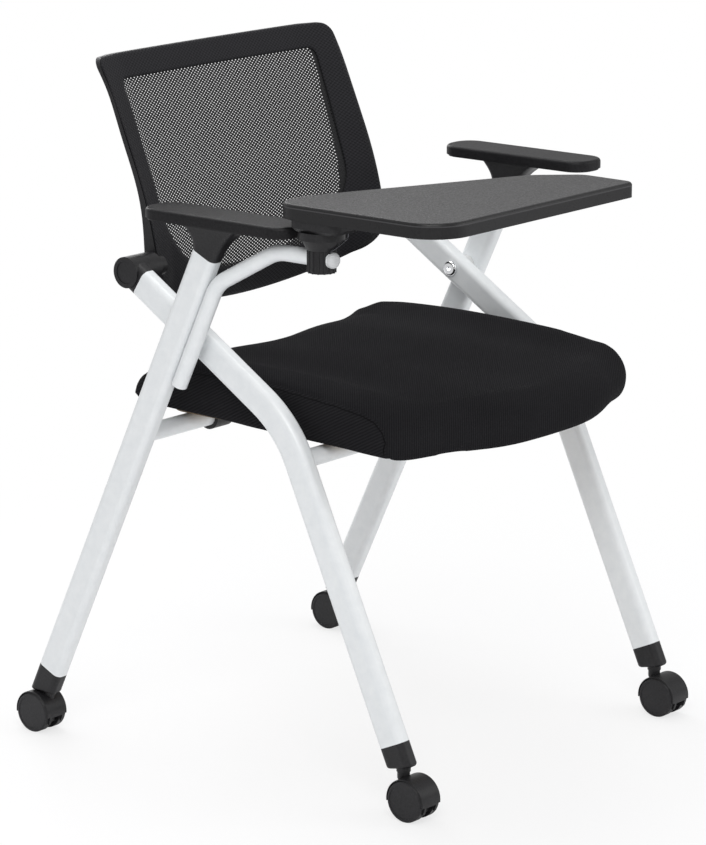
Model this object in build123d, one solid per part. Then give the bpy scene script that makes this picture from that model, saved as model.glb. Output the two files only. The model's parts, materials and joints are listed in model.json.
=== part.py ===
from build123d import *
import math
import os

# Folding training chair with castors, a mesh back and a swinging writing tablet.
# Millimetres. +Z is up, the sitter faces -Y, the sitter's right hand is on -X.
# The origin is on the floor, under the middle of the overall width and depth.

# Fits
slip = 0.1                  # pieces of one body that sit in each other, per side
running = 0.05              # radial clearance of pins and shafts that turn
apart = 0.4                 # space between faces that pass each other

# Oval frame tube and the folding cross
tube_depth = 36.0           # in the side plane
tube_width = 22.0           # across the chair
tube_corner = 8.0
tube_wall = 1.5
front_plane = 254.5         # middle of each front leg, from the chair's middle
leg_gap = 10.5              # between front and rear leg on each side
pivot = (79.9, 534.3)       # folding bolt, (Y, Z)
rear_ahead = 2.8            # rear leg's middle line in front of the bolt
upper_angle = 32.4          # front leg above its bend, from level
lower_angle = 65.5          # front leg below its bend
rear_angle = 64.8           # rear leg
front_top = 93.3            # pivot to the end of the front leg, along it
front_bend = 172.4          # pivot to the bend's corner, along the leg
bend_radius = 150.0
front_foot_height = 85.3    # middle of the lower tube end
rear_foot_height = 83.3
rear_top_rise = 105.0       # top of the rear leg above the bolt
spigot_length = 25.0        # how far every plug reaches into its tube

# Folding bolt
bolt_radius = 5.0
bolt_head_radius = 10.0
bolt_head_height = 5.0
spacer_radius = 13.0
nut_radius = 8.5
nut_height = 7.0
hex_across = 6.0
hex_depth = 3.0

# Cross bars under the seat
bar_radius = 11.0
bar_wall = 1.5
front_bar_drop = 131.5      # below the bolt
rear_bar_drop = 128.5

# Back pivot
barrel_radius = 19.0
barrel_reach = 21.5         # end of the front leg to the barrel's middle, along the leg
barrel_gap = 2.0            # between the barrel and the back
bush_radius = 12.0
shaft_radius = 7.0
cap_height = 2.0
cap_rim = 5.0
cap_recess = 1.0
shaft_boss_radius = 12.0
shaft_seat = 14.0           # length of shaft held in the back's frame

# Back rest, seen from the front: border widths, and heights above the barrel
back_clear = 24.5           # between the back and each front leg
back_rise = 243.7
back_side_drop = 30.5
back_middle_drop = 73.5
back_top_radius = 14.0
back_bottom_radius = 45.0
top_side_border = 36.0      # width of the side borders at the window's top
low_side_border = 42.0
window_rise = 216.5
window_side_rise = 9.5
window_middle_drop = 33.5
window_top_radius = 12.0
window_bottom_radius = 60.0
wing_width = 39.0           # part of each side that comes forward
slab_margin = 22.0          # the back's sheet past its cut edge
mesh_thickness = 2.0
mesh_depth = 1.5            # mesh behind the front of its frame
mesh_columns = 12           # plain grid of openings in the mesh
mesh_rows = 8
mesh_strip = 9.0            # between the openings and round them
mesh_least = 0.25           # smallest share of an opening that is cut at the rim
# Level sections of the back: height above the barrel, front of the sheet's edge behind the barrel,
# wing depth, bow of the middle, thickness
back_sections = [
    (-90.5, 9.1, 27.4, 20.0, 14.0),
    (-60.5, -7.9, 29.4, 20.0, 16.0),
    (-25.5, -18.9, 31.4, 20.0, 20.0),
    (14.5, -16.4, 31.4, 17.0, 18.0),
    (59.5, -5.9, 31.4, 13.0, 11.0),
    (109.5, 11.6, 31.4, 9.0, 7.0),
    (164.5, 37.1, 26.4, 6.0, 6.0),
    (216.5, 63.1, 21.4, 5.0, 5.0),
    (259.5, 84.6, 21.4, 4.0, 5.0),
]

# Arm rests
pad_width = 60.0
pad_front = -113.6
pad_rear = 112.0
pad_rise = 39.0             # pad's underside above the rear leg
pad_thickness = 12.0
pad_end_radius = 26.0
pad_edge = 4.0
shell_inset = 2.5           # shell under the pad, inside its edge
shell_thickness = 2.2
neck_waist_rise = 18.0
neck_waist = (52.0, 25.0)   # along and across
neck_top = (92.0, 34.0)
arm_screw_spacing = 150.0
arm_screw_radius = 2.5
arm_screw_head = 4.5
arm_screw_reach = 6.0

# Tube that carries the writing tablet, on the right rear leg
arm_tube_radius = 9.5
arm_tube_wall = 1.5
arm_tube_drop = 58.0        # its lower end below the bolt
arm_tube_rise = 28.5        # angle of its middle run
arm_tube_under = 22.0       # forward run below the arm pad
arm_tube_end = -160.6
arm_tube_corner = -79.3     # where the middle run meets the forward run
arm_tube_first_bend = 45.0
arm_tube_second_bend = 60.0
end_cap_height = 8.0

# Hub under the tablet, heights from the tube's middle
hub_middle = -145.6
hub_radius = 15.6
hub_below = 15.5
hub_flange_radius = 27.0
hub_flange_rise = 11.0
hub_flange_height = 21.6
hub_cone_height = 12.5      # below the cup
hub_cone_radius = 24.0
hub_rib_count = 14
hub_rib_radius = 1.4
pin_radius = 6.0
pin_depth = 16.0            # in the hub
pin_reach = 9.0             # in the housing
wire_radius = 0.8
wire_bend = 2.5
# latch wire: across and forward from the hub's middle, and height above the cone's foot
wire_points = [(-7.6, -18.1, -0.5), (4.5, -21.8, 5.7), (27.0, -15.4, 9.7), (28.0, -17.4, 19.7)]
housing_front = -186.6
housing_rear = -116.1
housing_half = 27.0
housing_corner = 14.0
housing_height = 13.0

# Writing tablet: outline corners (X, Y, radius)
tablet_thickness = 18.0
tablet_edge = 4.0
tablet_corners = [
    (-316.0, -96.6, 30.0),
    (-262.0, -96.6, 60.0),
    (14.0, -213.6, 70.0),
    (58.0, -262.6, 25.0),
    (55.0, -339.1, 12.0),
    (-316.0, -339.1, 48.0),
]
tablet_screw_spacing = (38.0, 52.0)
tablet_screw_radius = 2.0
tablet_screw_head = 3.5
tablet_screw_reach = 8.0

# Seat: heights from the top of its board
seat_side_clear = 15.0      # between the cushion and each front leg
seat_side_bulge = 7.0
seat_nose = -277.6          # most forward point at the middle
seat_nose_corner = -214.6   # and at the sides
seat_rear = 188.0
seat_rear_corner = 209.5
seat_rise = 59.5            # crown
seat_dish = 15.0
seat_side_inset = 9.0
seat_rear_skirt = 4.0       # underside of the cushion at the rear
seat_front_skirt = 16.0     # and at the nose
nose_tuck = 12.0            # lower edge behind the nose
nose_roll = 45.0            # upper edge of the nose behind its front
nose_fall = 9.0
rear_tuck = 10.0
rear_roll = 32.0
rear_fall = 5.0
board_gap = 1.0             # board above the rear bar
pan_thickness = 12.0
pan_side_inset = 17.0       # board inside the cushion's side
pan_front_side = -175.6
pan_front_middle = -240.6
pan_overhang = 5.0          # board behind the hinge clamps
pan_corner = 30.0
clamp_place = 150.0         # from the chair's middle
clamp_width = 30.0
clamp_wall = 5.0
flange_length = 58.0
flange_thickness = 5.0
saddle_length = 34.0
saddle_clear = 0.3
saddle_drop = 8.0
seat_screw_radius = 2.5
seat_screw_head = 4.5
seat_screw_head_height = 3.0
seat_screw_reach = 9.0
seat_screw_place = 23.0

# Castors
stem_level = 61.3           # height where the stems pass near the legs' middle lines
stem_ahead = 2.1            # stems in front of those lines
front_plug = (60.3, -12.0, 4.0)     # underside's height, its tilt in degrees and its edge radius
rear_plug = (52.6, 0.0, 2.6)
plug_boss_radius = 8.5
plug_boss_bottom = 55.9
plug_boss_rise = 6.0
stem_radius = 5.0
stem_top = 77.3
stem_bottom = 38.0
wheel_radius = 25.0
wheel_width = 11.5
wheel_round = 2.5
wheel_dish = 0.5
wheel_dish_radius = 21.0
wheel_clear = 0.5           # wheels inside the hood's shell
hood_radius = 27.0
hood_width = 35.0
hood_web = 13.0             # solid middle between the wheels
hood_edge = 1.0
hood_open_height = 12.5     # underside of the shell
hood_rim_height = 22.0      # underside of the rims beside the wheels
hood_skirt = 25.0           # width of the part that reaches below the rims
hood_slot_width = 18.0      # openings low in its front and rear
hood_slot_depth = 9.0
hood_slot_top = 21.0
hood_boss_radius = 7.5
hood_boss_top = 55.5
hood_cone_top = 48.0        # boss tapers to a point below this
hood_cone_bottom = 30.0
hood_cone_tip = 2.0
castor_trail = 14.5
axle_radius = 3.0

# Places that follow from the sizes above
rear_plane = front_plane + tube_width + leg_gap
inner_face = front_plane - tube_width / 2
front_outer_face = front_plane + tube_width / 2
rear_inner_face = rear_plane - tube_width / 2
back_half = inner_face - back_clear
barrel_inner = back_half + barrel_gap
window_top_half = back_half - top_side_border
window_bottom_half = back_half - low_side_border
wing_half = back_half - wing_width
rear_line = (pivot[0] - rear_ahead, pivot[1])
rear_top_height = pivot[1] + rear_top_rise
front_bar_height = pivot[1] - front_bar_drop
rear_bar_height = pivot[1] - rear_bar_drop
neck_waist_height = rear_top_height + neck_waist_rise
pad_bottom = rear_top_height + pad_rise
arm_tube_level = pad_bottom - arm_tube_under
hub_bottom = arm_tube_level - hub_below
hub_flange_bottom = arm_tube_level + hub_flange_rise
hub_flange_top = hub_flange_bottom + hub_flange_height
housing_bottom = hub_flange_top + apart
tablet_bottom = housing_bottom + housing_height
pan_bottom = rear_bar_height + bar_radius + board_gap
pan_top = pan_bottom + pan_thickness
seat_half = inner_face - seat_side_bulge - seat_side_clear
pan_half = seat_half - pan_side_inset
seat_crown = pan_top + seat_rise
seat_bottom_rear = pan_top - seat_rear_skirt
seat_bottom_front = pan_top - seat_front_skirt


def ahead(point, angle, distance):
    """Point in the side plane, a distance from another along an angle from +Y."""
    turn = math.radians(angle)
    return (point[0] + distance * math.cos(turn), point[1] + distance * math.sin(turn))


bend_corner = ahead(pivot, upper_angle + 180, front_bend)
front_end = ahead(pivot, upper_angle, front_top)
front_foot = ahead(
    bend_corner,
    lower_angle + 180,
    (bend_corner[1] - front_foot_height) / math.sin(math.radians(lower_angle)),
)
rear_rise = math.sin(math.radians(rear_angle))
rear_up = 180 - rear_angle
rear_foot = ahead(rear_line, rear_up, (rear_foot_height - pivot[1]) / rear_rise)
rear_end = ahead(rear_line, rear_up, rear_top_rise / rear_rise)
barrel = ahead(front_end, upper_angle, barrel_reach)
front_bar = (
    bend_corner[0] - (bend_corner[1] - front_bar_height) / math.tan(math.radians(lower_angle)),
    front_bar_height,
)
rear_bar = (rear_line[0] + rear_bar_drop / math.tan(math.radians(rear_angle)), rear_bar_height)
pan_rear = rear_bar[0] + flange_length / 2 + pan_overhang
back_top = barrel[1] + back_rise


def rod(x0, x1, place, radius):
    """Cylinder along X between two stations, on an axis at (Y, Z)."""
    turned = Pos((x0 + x1) / 2, place[0], place[1]) * Rot(0, 90, 0)
    return turned * Cylinder(radius, abs(x1 - x0))


def post(x, y, z0, z1, radius):
    """Upright cylinder between two heights."""
    return Pos(x, y, (z0 + z1) / 2) * Cylinder(radius, z1 - z0)


def block(x0, x1, y0, y1, z0, z1):
    """Box between two corners."""
    return Pos((x0 + x1) / 2, (y0 + y1) / 2, (z0 + z1) / 2) * Box(x1 - x0, y1 - y0, z1 - z0)


def tube_plane(x, place, angle):
    """Plane square to a tube that runs at an angle in the side plane."""
    turn = math.radians(angle)
    return Plane(
        origin=(x, place[0], place[1]), x_dir=(1, 0, 0), z_dir=(0, math.cos(turn), math.sin(turn))
    )


def oval(plane, inset=0.0):
    """Oval tube section, shrunk evenly by an inset."""
    corner = max(tube_corner - inset, tube_corner / 4)
    return plane * RectangleRounded(tube_width - 2 * inset, tube_depth - 2 * inset, corner)


def spigot(x, place, angle):
    """Plug that fills the end of an oval tube, from its mouth inwards."""
    face = oval(tube_plane(x, place, angle), tube_wall + slip)
    return extrude(face, amount=spigot_length)


def corner_sketch(corners):
    """Flat outline with its own radius at each corner."""
    outline = make_face(Polyline(*[(x, y) for x, y, _ in corners], close=True))
    for x, y, radius in corners:
        outline = fillet(outline.vertices().sort_by_distance((x, y, 0))[0], radius)
    return outline


def front_leg(x):
    """Bent front leg, hollow, bored for the folding bolt."""
    points = [(x, *front_foot), (x, *bend_corner), (x, *front_end)]
    path = FilletPolyline(*points, radius=bend_radius)
    start = tube_plane(x, front_foot, lower_angle)
    leg = sweep(oval(start), path=path) - sweep(oval(start, tube_wall), path=path)
    return leg - rod(x - tube_width, x + tube_width, pivot, bolt_radius + slip)


def rear_leg(x):
    """Straight rear leg, hollow, bored on its inner side only."""
    start = tube_plane(x, rear_foot, rear_up)
    length = (rear_top_height - rear_foot_height) / rear_rise
    leg = extrude(oval(start), amount=length) - extrude(oval(start, tube_wall), amount=length)
    inner = math.copysign(rear_inner_face, x)
    middle = math.copysign(rear_plane, x)
    return leg - rod(inner, middle, pivot, bolt_radius + running)


def cross_bar(place, reach):
    """Round bar welded between two inner faces."""
    return rod(-reach, reach, place, bar_radius) - rod(-reach, reach, place, bar_radius - bar_wall)


def folding_bolt(side):
    """Bolt with a domed, hexagon-socket head on the front leg's inner face."""
    head_base = side * inner_face
    head_top = side * (inner_face - bolt_head_height)
    head = rod(head_base, head_top, pivot, bolt_head_radius)
    rim = head.edges().filter_by(GeomType.CIRCLE).sort_by(Axis.X)
    head = fillet(rim[0] if side > 0 else rim[-1], bolt_head_height * 0.6)
    socket_plane = Plane(origin=(head_top, *pivot), x_dir=(0, 1, 0), z_dir=(side, 0, 0))
    head -= extrude(socket_plane * RegularPolygon(hex_across / 2, 6), amount=hex_depth)
    end = rear_inner_face + tube_wall + nut_height
    return head + rod(head_base, side * end, pivot, bolt_radius)


def ring(x0, x1, place, outer, inner):
    """Plain ring along X."""
    return rod(x0, x1, place, outer) - rod(x0, x1, place, inner)


def back_bracket(side):
    """Plug in the top of the front leg that ends in the barrel of the back pivot."""
    x = side * front_plane
    plane = tube_plane(x, front_end, upper_angle)
    bracket = extrude(oval(plane), amount=barrel_reach)
    bracket += rod(side * barrel_inner, side * front_outer_face, barrel, barrel_radius)
    bracket += spigot(x, front_end, upper_angle + 180)
    return bracket - rod(side * barrel_inner, side * front_plane, barrel, bush_radius)


def pivot_cap(side):
    """Round cover with a raised rim on the outer end of the barrel."""
    base = side * front_outer_face
    top = side * (front_outer_face + cap_height)
    floor = side * (front_outer_face + cap_height - cap_recess)
    return rod(base, top, barrel, barrel_radius) - rod(floor, top, barrel, barrel_radius - cap_rim)


def back_slab(front_shift, thickness=None):
    """Curved sheet that the back is cut from, lofted through level sections."""
    faces = []
    half = back_half + slab_margin
    for rise, setback, wing, bow, wall in back_sections:
        front = barrel[0] + setback + front_shift
        rear = front + (thickness or wall)
        ahead_of = front + wing
        behind = rear + wing
        outer = Polyline((-wing_half, ahead_of), (-half, front), (-half, rear), (-wing_half, behind))
        outer += ThreePointArc((-wing_half, behind), (0, behind + bow), (wing_half, behind))
        outer += Polyline((wing_half, behind), (half, rear), (half, front), (wing_half, ahead_of))
        outer += ThreePointArc((wing_half, ahead_of), (0, ahead_of + bow), (-wing_half, ahead_of))
        faces.append(Pos(0, 0, barrel[1] + rise) * make_face(outer))
    return loft(faces)


def back_outline(half, low_half, top, low_side, low_middle, top_radius, low_radius):
    """Front view of the back, with an arched lower edge, as a prism through its depth."""
    edges = Polyline((-low_half, low_side), (-half, top), (half, top), (low_half, low_side))
    edges += ThreePointArc((low_half, low_side), (0, low_middle), (-low_half, low_side))
    face = make_face(edges)
    tops = face.vertices().filter_by_position(Axis.Y, top - slip, top + slip)
    face = fillet(tops, top_radius)
    lows = face.vertices().filter_by_position(Axis.Y, low_side - slip, low_side + slip)
    face = fillet(lows, low_radius)
    return extrude(Plane.XZ * face, amount=-2 * back_top)


def back_rest():
    """Moulded frame of the back with its pivot bosses, and the mesh in its window."""
    outer = back_outline(
        back_half, back_half, back_top, barrel[1] - back_side_drop, barrel[1] - back_middle_drop,
        back_top_radius, back_bottom_radius,
    )
    window = back_outline(
        window_top_half, window_bottom_half, barrel[1] + window_rise, barrel[1] + window_side_rise,
        barrel[1] - window_middle_drop, window_top_radius, window_bottom_radius,
    )
    frame = (back_slab(0.0) & outer) - window
    for side in (-1, 1):
        inner = side * (back_half - shaft_seat)
        frame += rod(inner, side * back_half, barrel, shaft_boss_radius)
        frame -= rod(inner, side * back_half, barrel, shaft_radius + slip)
    mesh = back_slab(mesh_depth, mesh_thickness) & window
    return frame, mesh - mesh_openings()


def mesh_openings():
    """Plain grid of openings that stands for the open mesh, inside the window's rim."""
    low = barrel[1] - window_middle_drop
    high = barrel[1] + window_rise
    wide = 2 * window_top_half / mesh_columns
    tall = (high - low) / mesh_rows
    inside = back_outline(
        window_top_half - mesh_strip, window_bottom_half - mesh_strip, high - mesh_strip,
        barrel[1] + window_side_rise + mesh_strip, low + mesh_strip, window_top_radius, window_bottom_radius,
    )
    trim = mesh_strip / 2
    openings = []
    for column in range(mesh_columns):
        left = column * wide - window_top_half
        for row in range(mesh_rows):
            floor = low + row * tall
            cell = block(left + trim, left + wide - trim, 0, 2 * back_top, floor + trim, floor + tall - trim)
            piece = cell & inside
            if piece and piece.volume > mesh_least * cell.volume:
                openings.append(piece)
    return openings


def arm_support(side):
    """Neck that grows out of the rear leg's top into the shell under the arm pad."""
    x = side * rear_plane
    shell_bottom = pad_bottom - shell_thickness
    waist = ahead(rear_end, rear_up, (neck_waist_height - rear_end[1]) / rear_rise)
    top = ahead(rear_end, rear_up, (shell_bottom - rear_end[1]) / rear_rise)
    faces = [
        oval(tube_plane(x, rear_end, rear_up)),
        Pos(x, *waist) * RectangleRounded(neck_waist[1], neck_waist[0], tube_corner),
        Pos(x, *top) * RectangleRounded(neck_top[1], neck_top[0], tube_corner),
    ]
    support = loft(faces)
    shell = pad_sketch(side, shell_inset)
    support += extrude(Pos(0, 0, shell_bottom) * shell, amount=shell_thickness)
    support += spigot(x, rear_end, rear_up + 180)
    for place in arm_screw_places():
        support -= post(x, place, shell_bottom, pad_bottom, arm_screw_radius + slip)
    return support


def pad_sketch(side, inset=0.0):
    """Plan of the arm pad."""
    length = pad_rear - pad_front - 2 * inset
    face = RectangleRounded(pad_width - 2 * inset, length, pad_end_radius - inset)
    return Pos(side * rear_plane, (pad_rear + pad_front) / 2) * face


def arm_screw_places():
    """Y of the two screws in each arm pad."""
    middle = (pad_rear + pad_front) / 2
    return [middle - arm_screw_spacing / 2, middle + arm_screw_spacing / 2]


def arm_pad(side):
    """Arm pad with softened edges and blind holes for its screws."""
    pad = extrude(Pos(0, 0, pad_bottom) * pad_sketch(side), amount=pad_thickness)
    top = pad.faces().sort_by(Axis.Z)[-1]
    pad = fillet(top.edges(), pad_edge)
    for place in arm_screw_places():
        pad -= post(side * rear_plane, place, pad_bottom, pad_bottom + arm_screw_reach,
                    arm_screw_radius + slip)
    return pad


def screw(x, y, under_head, reach, radius, head_radius, head_height):
    """Screw driven upwards, with its head below."""
    head = post(x, y, under_head - head_height, under_head, head_radius)
    return head + post(x, y, under_head, under_head + reach, radius)


def arm_tube_path(x):
    """Line of the tablet tube: up beside the leg, forward and up, then level."""
    offset = tube_depth / 2 + arm_tube_radius + running
    beside = ahead(rear_line, rear_up + 90, offset)
    start = ahead(beside, rear_up, (pivot[1] - arm_tube_drop - beside[1]) / rear_rise)
    rise = math.tan(math.radians(arm_tube_rise))
    slope = math.tan(math.radians(rear_up))
    second = (arm_tube_corner, arm_tube_level)
    base = second[1] + rise * second[0]
    corner_y = (base - beside[1] + slope * beside[0]) / (slope + rise)
    first = (corner_y, base - rise * corner_y)
    points = [(x, *start), (x, *first), (x, *second), (x, arm_tube_end, arm_tube_level)]
    return FilletPolyline(*points, radius=[arm_tube_first_bend, arm_tube_second_bend])


def arm_tube():
    """Bent round tube welded to the right rear leg."""
    path = arm_tube_path(-rear_plane)
    start = Plane(origin=path @ 0, z_dir=path % 0)
    whole = sweep(start * Circle(arm_tube_radius), path=path)
    return whole - sweep(start * Circle(arm_tube_radius - arm_tube_wall), path=path)


def arm_tube_cap():
    """Domed stopper in the tube's forward end."""
    base = Plane(origin=(-rear_plane, arm_tube_end, arm_tube_level), z_dir=(0, -1, 0))
    dome = extrude(base * Circle(arm_tube_radius - running), amount=end_cap_height)
    dome = fillet(dome.edges().sort_by(Axis.Y)[0], end_cap_height * 0.8)
    inner = base * Circle(arm_tube_radius - arm_tube_wall - slip)
    return dome + extrude(inner, amount=-spigot_length / 2)


def tablet_hub():
    """Ribbed socket that turns on the tablet tube, with the cup for the swivel on top."""
    x = -rear_plane
    hub = post(x, hub_middle, hub_bottom, hub_flange_bottom, hub_radius)
    for index in range(hub_rib_count):
        turn = 2 * math.pi * index / hub_rib_count
        rib_x = x + hub_radius * math.cos(turn)
        rib_y = hub_middle + hub_radius * math.sin(turn)
        hub += post(rib_x, rib_y, hub_bottom, hub_flange_bottom, hub_rib_radius)
    cone = Cone(hub_radius + hub_rib_radius, hub_cone_radius, hub_cone_height)
    hub += Pos(x, hub_middle, hub_flange_bottom + hub_cone_height / 2) * cone
    hub += post(x, hub_middle, hub_flange_bottom + hub_cone_height, hub_flange_top, hub_flange_radius)
    tunnel = Plane(origin=(x, hub_middle, arm_tube_level), z_dir=(0, 1, 0))
    bore = Circle(arm_tube_radius + running)
    hub -= extrude(tunnel * bore, amount=2 * hub_flange_radius, both=True)
    return hub - post(x, hub_middle, hub_flange_top - pin_depth, hub_flange_top, pin_radius + slip)


def latch_wire():
    """Bent wire catch in front of the hub."""
    points = [(-rear_plane + x, hub_middle + y, hub_flange_bottom + z) for x, y, z in wire_points]
    path = FilletPolyline(*points, radius=wire_bend)
    return sweep(Plane(origin=path @ 0, z_dir=path % 0) * Circle(wire_radius), path=path)


def tablet_housing():
    """Swivel housing screwed under the tablet."""
    middle = (housing_front + housing_rear) / 2
    plan = RectangleRounded(2 * housing_half, housing_rear - housing_front, housing_corner)
    plan = Pos(-rear_plane, middle, housing_bottom) * plan
    housing = extrude(plan, amount=tablet_bottom - housing_bottom)
    housing = chamfer(housing.faces().sort_by(Axis.Z)[0].edges(), pad_edge)
    top = hub_flange_top + pin_reach + apart
    housing -= post(-rear_plane, hub_middle, housing_bottom, top, pin_radius + running)
    for x, y in tablet_screw_places():
        housing -= post(x, y, housing_bottom, tablet_bottom, tablet_screw_radius + slip)
        sunk = tablet_bottom - tablet_thickness / 3
        housing -= post(x, y, housing_bottom, sunk, tablet_screw_head + slip)
    return housing


def tablet_screw_places():
    """Four screws through the housing."""
    middle = (housing_front + housing_rear) / 2
    half_x, half_y = (value / 2 for value in tablet_screw_spacing)
    return [(-rear_plane + i * half_x, middle + j * half_y) for i in (-1, 1) for j in (-1, 1)]


def tablet_board():
    """Writing tablet with rounded corners and softened edges."""
    board = extrude(Pos(0, 0, tablet_bottom) * corner_sketch(tablet_corners), amount=tablet_thickness)
    board = fillet(board.faces().sort_by(Axis.Z)[-1].edges(), tablet_edge)
    for x, y in tablet_screw_places():
        board -= post(x, y, tablet_bottom, tablet_bottom + tablet_screw_reach, tablet_screw_radius + slip)
    return board


def seat_section(x, inset=0.0):
    """Side section of the cushion: rolled nose, dished top, rounded rear and flat underside."""
    share = min(abs(x) / seat_half, 1.0) ** 2
    nose = seat_nose + (seat_nose_corner - seat_nose) * share + inset
    rear = seat_rear + (seat_rear_corner - seat_rear) * share - inset
    top = seat_crown - seat_dish * (1 - share) - inset
    low_front = (nose + nose_tuck, seat_bottom_front + inset / 2)
    low_rear = (rear - rear_tuck, seat_bottom_rear + inset / 2)
    top_front = (nose + nose_roll, top - nose_fall)
    top_rear = (rear - rear_roll, top - rear_fall)
    edges = Line(low_front, low_rear)
    edges += ThreePointArc(low_rear, (rear, (low_rear[1] + top_rear[1]) / 2), top_rear)
    edges += ThreePointArc(top_rear, ((top_rear[0] + top_front[0]) / 2, top), top_front)
    edges += ThreePointArc(top_front, (nose, (low_front[1] + top_front[1]) / 2), low_front)
    return Plane(origin=(x, 0, 0), x_dir=(0, 1, 0), z_dir=(1, 0, 0)) * make_face(edges)


def pan_sketch():
    """Plan of the seat board."""
    edges = Polyline((pan_half, pan_front_side), (pan_half, pan_rear), (-pan_half, pan_rear),
                     (-pan_half, pan_front_side))
    edges += ThreePointArc((-pan_half, pan_front_side), (0, pan_front_middle), (pan_half, pan_front_side))
    face = make_face(edges)
    return fillet(face.vertices(), pan_corner)


def seat_cushion():
    """Upholstered cushion with a crown, drawn-in sides and a pocket for the board."""
    edge = seat_half + seat_side_bulge
    stations = [0.5 * seat_half, 0.85 * seat_half, seat_half]
    faces = [seat_section(-edge, seat_side_inset)]
    faces += [seat_section(-x) for x in reversed(stations)]
    faces += [seat_section(0.0)]
    faces += [seat_section(x) for x in stations]
    faces += [seat_section(edge, seat_side_inset)]
    pocket = extrude(Pos(0, 0, seat_bottom_front - pan_thickness) * pan_sketch(),
                     amount=pan_top - seat_bottom_front + pan_thickness)
    return loft(faces) - pocket


def seat_screw_places():
    """Screws through the flanges of the clamps and saddles."""
    places = []
    for side in (-1, 1):
        for middle in (rear_bar[0], front_bar[0]):
            places += [(side * clamp_place, middle + step * seat_screw_place) for step in (-1, 1)]
    return places


def drilled(shape):
    """Shape with the seat screws' holes in it."""
    for x, y in seat_screw_places():
        low = pan_bottom - flange_thickness
        shape -= post(x, y, low, low + seat_screw_reach, seat_screw_radius + slip)
    return shape


def seat_clamp(side):
    """Hinge clamp round the rear bar, under the seat board."""
    x0 = side * clamp_place - clamp_width / 2
    x1 = side * clamp_place + clamp_width / 2
    outer = bar_radius + clamp_wall
    clamp = rod(x0, x1, rear_bar, outer)
    clamp += block(x0, x1, rear_bar[0] - outer, rear_bar[0] + outer, rear_bar[1], pan_bottom)
    clamp += block(x0, x1, rear_bar[0] - flange_length / 2, rear_bar[0] + flange_length / 2,
                   pan_bottom - flange_thickness, pan_bottom)
    clamp -= block(x0, x1, rear_bar[0] - outer, rear_bar[0] + outer, pan_bottom, pan_bottom + outer)
    return drilled(clamp - rod(x0, x1, rear_bar, bar_radius + running))


def seat_saddle(side):
    """Open saddle that rests on the front bar and lifts off it when the chair folds."""
    x0 = side * clamp_place - clamp_width / 2
    x1 = side * clamp_place + clamp_width / 2
    half = saddle_length / 2
    saddle = block(x0, x1, front_bar[0] - half, front_bar[0] + half, pan_bottom - saddle_drop, pan_bottom)
    saddle += block(x0, x1, front_bar[0] - flange_length / 2, front_bar[0] + flange_length / 2,
                    pan_bottom - flange_thickness, pan_bottom)
    return drilled(saddle - rod(x0, x1, front_bar, bar_radius + saddle_clear))


def underside(x, place, height, tilt):
    """Everything below a plane that is turned about X from level."""
    size = 4 * tube_depth
    below = Box(size, size, size, align=(Align.CENTER, Align.CENTER, Align.MAX))
    return Pos(x, place, height) * Rot(tilt, 0, 0) * below


def leg_plug(x, place, angle, stem_y, foot):
    """Foot of a leg: a plug in the tube, with a boss or a recess round the castor's stem."""
    bottom, tilt, edge = foot
    down = tube_plane(x, place, angle + 180)
    plug = extrude(oval(down), amount=tube_depth * 1.5)
    plug -= underside(x, stem_y, bottom, tilt)
    plug = fillet(plug.faces().sort_by(Axis.Z)[0].edges(), edge)
    plug += spigot(x, place, angle)
    plug += post(x, stem_y, plug_boss_bottom, bottom + plug_boss_rise, plug_boss_radius)
    plug -= post(x, stem_y, 0, plug_boss_bottom, hood_boss_radius + apart)
    return plug - post(x, stem_y, plug_boss_bottom, stem_top, stem_radius + running)


def castor_hood(x, stem_y, trail_side):
    """Shell over both wheels with a solid middle, open below, and the boss of the stem."""
    wheel_y = stem_y + trail_side * castor_trail
    centre = (wheel_y, wheel_radius)
    half = hood_width / 2
    web = hood_web / 2
    hood = rod(x - half, x + half, centre, hood_radius)
    hood = fillet(hood.edges().filter_by(GeomType.CIRCLE), hood_edge)
    cone = Cone(hood_cone_tip, hood_boss_radius, hood_cone_top - hood_cone_bottom)
    hood += Pos(x, stem_y, (hood_cone_top + hood_cone_bottom) / 2) * cone
    hood += post(x, stem_y, hood_cone_top, hood_boss_top, hood_boss_radius)
    hood -= underside(x, wheel_y, hood_open_height, 0)
    for side in (-1, 1):
        rim = x + side * (hood_skirt + hood_width) / 4
        rim_half = (hood_width - hood_skirt) / 4
        hood -= block(rim - rim_half, rim + rim_half, wheel_y - hood_radius, wheel_y + hood_radius, 0,
                      hood_rim_height)
        end = wheel_y + side * hood_radius
        slot = end - side * hood_slot_depth
        hood -= block(x - hood_slot_width / 2, x + hood_slot_width / 2, min(slot, end), max(slot, end), 0,
                      hood_slot_top)
        hood -= rod(x + side * web, x + side * half, centre, wheel_radius + wheel_clear)
    hood -= rod(x - web, x + web, centre, axle_radius + slip)
    return hood - post(x, stem_y, stem_bottom, hood_boss_top, stem_radius + slip)


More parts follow.
